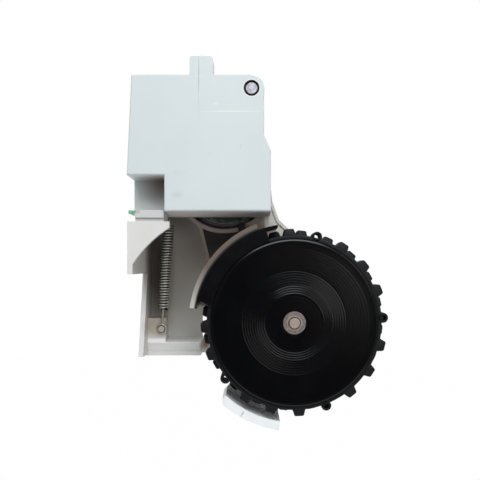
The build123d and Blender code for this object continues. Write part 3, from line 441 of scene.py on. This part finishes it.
# Connector at the frame's shelf: a cream nylon shell, with a corner of its green switch board beside it.
# The board is green at its corner alone. The rest, under the cover, is the pale grey of its silk screen.
connector_nylon = moulded_plastic("connector_nylon", (0.66, 0.66, 0.68), 0.4, 0.3)
grime(connector_nylon, (0.5, 0.44, 0.34), 0.2, 300)
finish(connector_nylon, "connector")
board_green = moulded_plastic("board_green", (0.05, 0.36, 0.2), 0.3, 0.5, mottle=0.25)
grime(board_green, (0.45, 0.62, 0.5), 0.7, 1500, 0.45, 0.6)
silk_grey = (0.60, 0.58, 0.57)
stain(board_green, (-0.0145, -0.03, -0.001), (0.0062, 1, 0.01), silk_grey, 1.0, 0.9)
finish(board_green, "switch_board")

# Motor's round board: green solder mask at its edge, with a dark disc of tinned copper and flux inside.
# It sits in the arm's collar, on the motor's axis, so the collar's bands below share that axis.
motor_from_hub = (-0.02702, 0.05549)
motor_axis = (hub_place[0] + motor_from_hub[0], 0, hub_place[2] + motor_from_hub[1])
round_board = moulded_plastic("round_board", (0.025, 0.17, 0.085), 0.32, 0.5, mottle=0.25)
stain(round_board, motor_axis, (0.01660, 1, 0.01660), (0.05, 0.052, 0.058), 1.0, 0.97)
grime(round_board, (0.3, 0.27, 0.22), 0.6, 500, 0.56, 0.66)
finish(round_board, "motor_board")

# Swing arm: the lid carries the fender, the arch and the motor's collar, and closes the gear tray behind it.
# Both are the frame's ABS, warmer and soiled by the road, and painted shade darkens the lid where the cover
# shadows it.
arm_white = moulded_plastic("arm_white", (0.68, 0.66, 0.63), 0.42, 0.25)
road_brown = (0.34, 0.26, 0.21)
grime(arm_white, road_brown, 0.2, 130)
# Painted shade on the lid, left of the cover's right edge, where the cover's shadow falls
cover_right_edge = 0.0285
cover_shadow_brown = (0.17, 0.125, 0.10)
under_cover = (("X", "LESS_THAN", cover_right_edge),)
stain(arm_white, (0.0160, -0.0400, -0.0140), (0.0310, 0.0400, 0.0320), cover_shadow_brown, 1.0, 0.45, under_cover)

# Bands of shade round the motor's collar, each with its reach from the motor's axis, from the widest in
for band_reach, band_colour in (
    (0.0213, (0.42, 0.35, 0.32)),
    (0.0195, (0.02, 0.018, 0.02)),
    (0.0183, (0.13, 0.12, 0.125)),
    (0.0176, (0.02, 0.018, 0.02)),
):
    stain(arm_white, motor_axis, (band_reach, 1, band_reach), band_colour, 1.0, 0.97)

# Painted shade blackens the fender's inner face by the tyre, and painted cool light whitens the lower arch
fender_reach = 0.0380
fender_gap_shade = (0.004, 0.004, 0.005)
arch_cool_light = (0.92, 0.95, 0.98)
fender_front = (("Y", "LESS_THAN", -0.045), ("Z", "GREATER_THAN", -0.040), ("X", "LESS_THAN", cover_right_edge))
stain(arm_white, hub_place, (fender_reach, 1, fender_reach), fender_gap_shade, 1.0, 0.985, fender_front)
stain(arm_white, (0.0250, -0.0400, -0.0720), (0.0200, 0.0400, 0.0200), arch_cool_light, 1.0, 0.6)
tray_grey = moulded_plastic("tray_grey", (0.56, 0.54, 0.5), 0.48, 0.3)
grime(tray_grey, road_brown, 0.4, 130)
finish(arm_white, "arm_front")
finish(tray_grey, "arm_rear")

# Black mouldings: the panel behind the tyre, the guard before the tread, and the motor's end cap.
# The panel and the cap have gone grey with dust, and the guard is the blackest piece beside the wheel.
panel_black = moulded_plastic("panel_black", (0.026, 0.025, 0.026), 0.45, 0.35, mottle=0.15, shine=0.3)
guard_black = moulded_plastic("guard_black", (0.0015, 0.0015, 0.003), 0.42, 0.3, mottle=0.2, shine=0.08)
grime(panel_black, (0.06, 0.05, 0.045), 0.4, 200)
grime(guard_black, (0.012, 0.011, 0.010), 0.3, 240)
finish(panel_black, "arm_panel", "motor_cap")
finish(guard_black, "tread_guard")

# Motor: a zinc-plated can with fine drawing marks, its plate and shaft, and a hobbed brass pinion.
# The marks run round the can, and along the shaft and the pinion's teeth.
can_steel = bare_metal("can_steel", (0.55, 0.55, 0.55), 0.35, (300, 2600, 300), 0.2)
finish(can_steel, "motor_can", "motor_plate")
shaft_steel = bare_metal("shaft_steel", (0.6, 0.6, 0.6), 0.3, (3000, 200, 3000))
finish(shaft_steel, "motor_shaft")
pinion_brass = bare_metal("pinion_brass", (0.75, 0.56, 0.28), 0.34, (2600, 200, 2600))
finish(pinion_brass, "motor_pinion")

# Gear train: natural acetal, faintly greased, running on steel pins in the tray behind the lid.
# The axle turns in two sintered bronze bushes, which are dull and pitted.
gear_acetal = moulded_plastic("gear_acetal", (0.83, 0.82, 0.78), 0.3, 0.15)
grime(gear_acetal, (0.55, 0.48, 0.3), 0.35, 220)
finish(gear_acetal, "compound_gear_1", "compound_gear_2", "compound_gear_3", "output_gear")
bush_bronze = bare_metal("bush_bronze", (0.5, 0.34, 0.2), 0.5, (2200, 2200, 2200), 0.5)
finish(bush_bronze, "axle_bush_front", "axle_bush_rear")

# Wheel hub: a black moulding whose face was skimmed on a lathe, which left fine concentric rings,
# with a raised rim at the tyre and a shallow pocket for the washer.
hub_x, wheel_face, hub_z = hub_place
rim_radius = 0.0309
hub_depth = 0.0205
hub_sides = 180
hub_black = moulded_plastic("hub_black", (0.0009, 0.0011, 0.0018), 0.2, 0.04, mottle=0.25, shine=0.3)
bpy.ops.object.select_all(action="DESELECT")
bpy.ops.mesh.primitive_cylinder_add(
    vertices=hub_sides, radius=rim_radius, depth=hub_depth, end_fill_type="NGON",
    location=(hub_x, wheel_face + hub_depth / 2, hub_z), rotation=(pi / 2, 0, 0),
)
wheel_dish = bpy.context.object
wheel_dish.name = "wheel_dish"
bpy.ops.object.transform_apply(location=True, rotation=True, scale=True)


def pick_face(piece, towards_viewer):
    """Selects the one many-sided end face of a turned piece that looks towards or away from the viewer."""
    bpy.ops.object.mode_set(mode="OBJECT")
    for polygon in piece.data.polygons:
        polygon.select = len(polygon.vertices) > 8 and (polygon.normal.y < -0.5) == towards_viewer
    bpy.ops.object.mode_set(mode="EDIT")


bpy.ops.object.mode_set(mode="EDIT")
bpy.ops.mesh.select_mode(type="FACE")
pick_face(wheel_dish, True)
# The rim's profile, from its edge inwards: how wide each step is, and how far it rises
for width, step in ((0.0005, 0.00015), (0.0002, 0), (0.0003, -0.0005), (0.0012, -0.00005)):
    bpy.ops.mesh.inset(thickness=width, depth=step)
# Tool marks, in groups from the rim to the hub: how many grooves, the land between them, how deep
groove_half = 0.0002
for groove_count, land, cut in (
    (8, 0.0007, 0.00001),
    (6, 0.00052, 0.00004),
    (4, 0.00046, 0.00005),
    (3, 0.0008, 0.000015),
    (3, 0.0004, 0.00001),
):
    for _ in range(groove_count):
        bpy.ops.mesh.inset(thickness=land, depth=0)
        bpy.ops.mesh.inset(thickness=groove_half, depth=-cut)
        bpy.ops.mesh.inset(thickness=groove_half, depth=cut)
# The washer's pocket in front, and the hollow behind, which has a little draft
pocket_edge, pocket_depth = 0.0001, 0.0005
back_rim, hollow_draft, hollow_depth = 0.002, 0.0004, 0.0175
bpy.ops.mesh.inset(thickness=pocket_edge, depth=-pocket_depth)
pick_face(wheel_dish, False)
bpy.ops.mesh.inset(thickness=back_rim, depth=0)
bpy.ops.mesh.inset(thickness=hollow_draft, depth=-hollow_depth)
bpy.ops.object.mode_set(mode="OBJECT")
groove_crease = 12
bpy.ops.object.shade_smooth_by_angle(angle=radians(groove_crease))
wheel_dish.data.materials.append(hub_black)
finish(hub_black, "wheel_hub")
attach(wheel_dish, "wheel")
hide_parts("wheel_hub")

# Tyre: black rubber moulded on the rim, a plain band with two rows of twenty lugs set half a pitch apart.
# Every fourth lug of the outer row is a round lobe with a hole through it.
band_radius = 0.0326
tyre_radius = 0.035
tread_start = 0.0015
row_width = 0.00925
row_gap = 0.001
band_clearance = 0.00005
lugs_a_row = 20
lobe_every = 4
lug_pitch = 2 * pi / lugs_a_row
lug_phase = radians(3.1)
lug_base = 0.0052
lug_sink = 0.0006
lug_taper_round = 0.66
lug_taper_across = 0.93
tread_black = moulded_plastic("tread_black", (0.004, 0.005, 0.007), 0.5, 0.6, mottle=0.25, shine=0.22)
grime(tread_black, (0.02, 0.02, 0.02), 0.35, 300)


def smooth_edges(piece, width, segments):
    """Rounds a piece's sharp edges and shades it smooth by angle."""
    sharp_angle = radians(35)
    bevel = piece.modifiers.new("rounding", "BEVEL")
    bevel.width = width
    bevel.segments = segments
    bevel.limit_method = "ANGLE"
    bevel.angle_limit = sharp_angle
    bpy.ops.object.select_all(action="DESELECT")
    piece.select_set(True)
    bpy.context.view_layer.objects.active = piece
    bpy.ops.object.modifier_apply(modifier=bevel.name)
    bpy.ops.object.shade_smooth_by_angle(angle=sharp_angle)


bpy.ops.object.select_all(action="DESELECT")
band_width = 2 * row_width + row_gap
bpy.ops.mesh.primitive_cylinder_add(
    vertices=160, radius=band_radius, depth=band_width, end_fill_type="NOTHING",
    location=(hub_x, wheel_face + tread_start + band_width / 2, hub_z), rotation=(pi / 2, 0, 0),
)
tread = bpy.context.object
tread.name = "tread"
bpy.ops.object.transform_apply(location=True, rotation=True, scale=True)
wall = tread.modifiers.new("band", "SOLIDIFY")
wall.thickness = band_radius - rim_radius - band_clearance
wall.offset = -1
bpy.ops.object.modifier_apply(modifier=wall.name)
smooth_edges(tread, 0.0004, 3)

# One lug, which tapers towards its tip and is sunk a little into the band
bpy.ops.object.select_all(action="DESELECT")
bpy.ops.mesh.primitive_cube_add(size=1)
lug = bpy.context.object
lug.name = "lug"
lug.scale = (lug_base, row_width, tyre_radius - band_radius + lug_sink)
bpy.ops.object.transform_apply(location=True, rotation=True, scale=True)
for vertex in lug.data.vertices:
    if vertex.co.z > 0:
        vertex.co.x *= lug_taper_round
        vertex.co.y *= lug_taper_across
smooth_edges(lug, 0.00055, 4)

# One round lobe, bored through
bpy.ops.object.select_all(action="DESELECT")
lobe_radius = 0.0019
lobe_hole = 0.001
bpy.ops.mesh.primitive_cylinder_add(
    vertices=28, radius=lobe_radius, depth=row_width, end_fill_type="NOTHING", rotation=(pi / 2, 0, 0)
)
lobe = bpy.context.object
lobe.name = "lobe"
bpy.ops.object.transform_apply(location=True, rotation=True, scale=True)
wall = lobe.modifiers.new("bore", "SOLIDIFY")
wall.thickness = lobe_radius - lobe_hole
wall.offset = -1
bpy.ops.object.modifier_apply(modifier=wall.name)
smooth_edges(lobe, 0.00025, 2)

# The lugs and lobes are set round the band in their two rows, and joined to it
lug_middle = (tyre_radius + band_radius - lug_sink) / 2
bpy.ops.object.select_all(action="DESELECT")
for row in range(2):
    middle = wheel_face + tread_start + row_width / 2 + row * (row_width + row_gap)
    for i in range(lugs_a_row):
        angle = lug_phase + (i + row / 2) * lug_pitch
        round_lug = row == 0 and i % lobe_every == 0
        model = lobe if round_lug else lug
        reach = tyre_radius - lobe_radius if round_lug else lug_middle
        copy = model.copy()
        copy.data = model.data.copy()
        bpy.context.scene.collection.objects.link(copy)
        copy.rotation_euler = (0, pi / 2 - angle, 0)
        copy.location = (hub_x + reach * cos(angle), middle, hub_z + reach * sin(angle))
        copy.select_set(True)
tread.select_set(True)
bpy.context.view_layer.objects.active = tread
bpy.ops.object.transform_apply(location=True, rotation=True, scale=True)
bpy.ops.object.join()
bpy.data.objects.remove(lug)
bpy.data.objects.remove(lobe)
tread.data.materials.clear()
tread.data.materials.append(tread_black)
finish(tread_black, "tyre")
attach(tread, "wheel")
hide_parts("tyre")

# Tension spring: close-wound music wire, from the peg on the frame to the lug on the arm.
# The coil narrows towards the peg, the inside of its turns is painted dark as shade, and a straight end runs
# up to the lug's loop.
spring_post = (-0.0150, -0.0134, -0.0476)
spring_lug = (-0.0106, -0.0134, 0.0180)
wire_radius = 0.00046
coil_turns = 31
coil_start = 0.0083
coil_length = 0.0353
foot_radius = 0.00165
head_radius = 0.00215
loop_radius = 0.00175
wire_overlap = 0.0004
shade_side = 0.72
spring_wire = bare_metal("spring_wire", (0.52, 0.50, 0.46), 0.4, (2200, 2200, 2200), 0.15)
shaded_wire = bare_metal("shaded_wire", (0.05, 0.047, 0.043), 0.5, (2200, 2200, 2200), 0.15)
spring_span = (spring_lug[0] - spring_post[0], spring_lug[2] - spring_post[2])
spring_reach = hypot(*spring_span)
lean = atan2(*spring_span)
bpy.ops.object.select_all(action="DESELECT")
bpy.ops.mesh.primitive_circle_add(
    vertices=8, radius=wire_radius, location=(head_radius, 0, 0), rotation=(pi / 2, 0, 0)
)
coil = bpy.context.object
coil.name = "coil"
bpy.ops.object.transform_apply(location=True, rotation=True, scale=True)
winding = coil.modifiers.new("winding", "SCREW")
winding.axis = "Z"
winding.steps = 20
winding.render_steps = 20
winding.iterations = coil_turns
winding.screw_offset = coil_length / coil_turns
winding.use_smooth_shade = True
bpy.ops.object.modifier_apply(modifier=winding.name)
for vertex in coil.data.vertices:
    along = vertex.co.z / coil_length
    shift = (foot_radius - head_radius) * (1 - along)
    radius = hypot(vertex.co.x, vertex.co.y)
    vertex.co.x *= (radius + shift) / radius
    vertex.co.y *= (radius + shift) / radius
    vertex.co.z += coil_start
bpy.ops.object.mode_set(mode="EDIT")
bpy.ops.mesh.select_all(action="SELECT")
bpy.ops.mesh.normals_make_consistent(inside=False)
bpy.ops.object.mode_set(mode="OBJECT")
coil.data.materials.append(spring_wire)
coil.data.materials.append(shaded_wire)
# The faces of the wire that look into the coil take the dark copy of the wire, as painted shade
for polygon in coil.data.polygons:
    outward = polygon.normal.x * polygon.center.x + polygon.normal.y * polygon.center.y
    polygon.material_index = outward < shade_side * hypot(polygon.center.x, polygon.center.y)

# A straight end of wire runs from each end of the coil to its loop, and both are joined to the coil
wire_parts = [coil]
for start, end in (
    (loop_radius, coil_start + wire_overlap),
    (coil_start + coil_length - wire_overlap, spring_reach - loop_radius),
):
    bpy.ops.object.select_all(action="DESELECT")
    bpy.ops.mesh.primitive_cylinder_add(
        vertices=12, radius=wire_radius, depth=end - start, end_fill_type="NGON",
        location=(0, 0, (start + end) / 2),
    )
    bpy.ops.object.transform_apply(location=True, rotation=True, scale=True)
    bpy.ops.object.shade_smooth_by_angle(angle=radians(40))
    bpy.context.object.data.materials.append(spring_wire)
    wire_parts.append(bpy.context.object)
for height in (0, spring_reach):
    bpy.ops.object.select_all(action="DESELECT")
    bpy.ops.mesh.primitive_torus_add(
        major_radius=loop_radius, minor_radius=wire_radius, major_segments=32, minor_segments=10,
        location=(0, 0, height), rotation=(pi / 2, 0, 0),
    )
    bpy.ops.object.transform_apply(location=True, rotation=True, scale=True)
    bpy.ops.object.shade_smooth()
    bpy.context.object.data.materials.append(spring_wire)
    wire_parts.append(bpy.context.object)
bpy.ops.object.select_all(action="DESELECT")
for part in wire_parts:
    part.select_set(True)
bpy.context.view_layer.objects.active = coil
bpy.ops.object.join()
coil.rotation_euler = (0, lean, 0)
coil.location = spring_post
bpy.ops.object.transform_apply(location=True, rotation=True, scale=True)
finish(spring_wire, "tension_spring")
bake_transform(coil)
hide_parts("tension_spring")
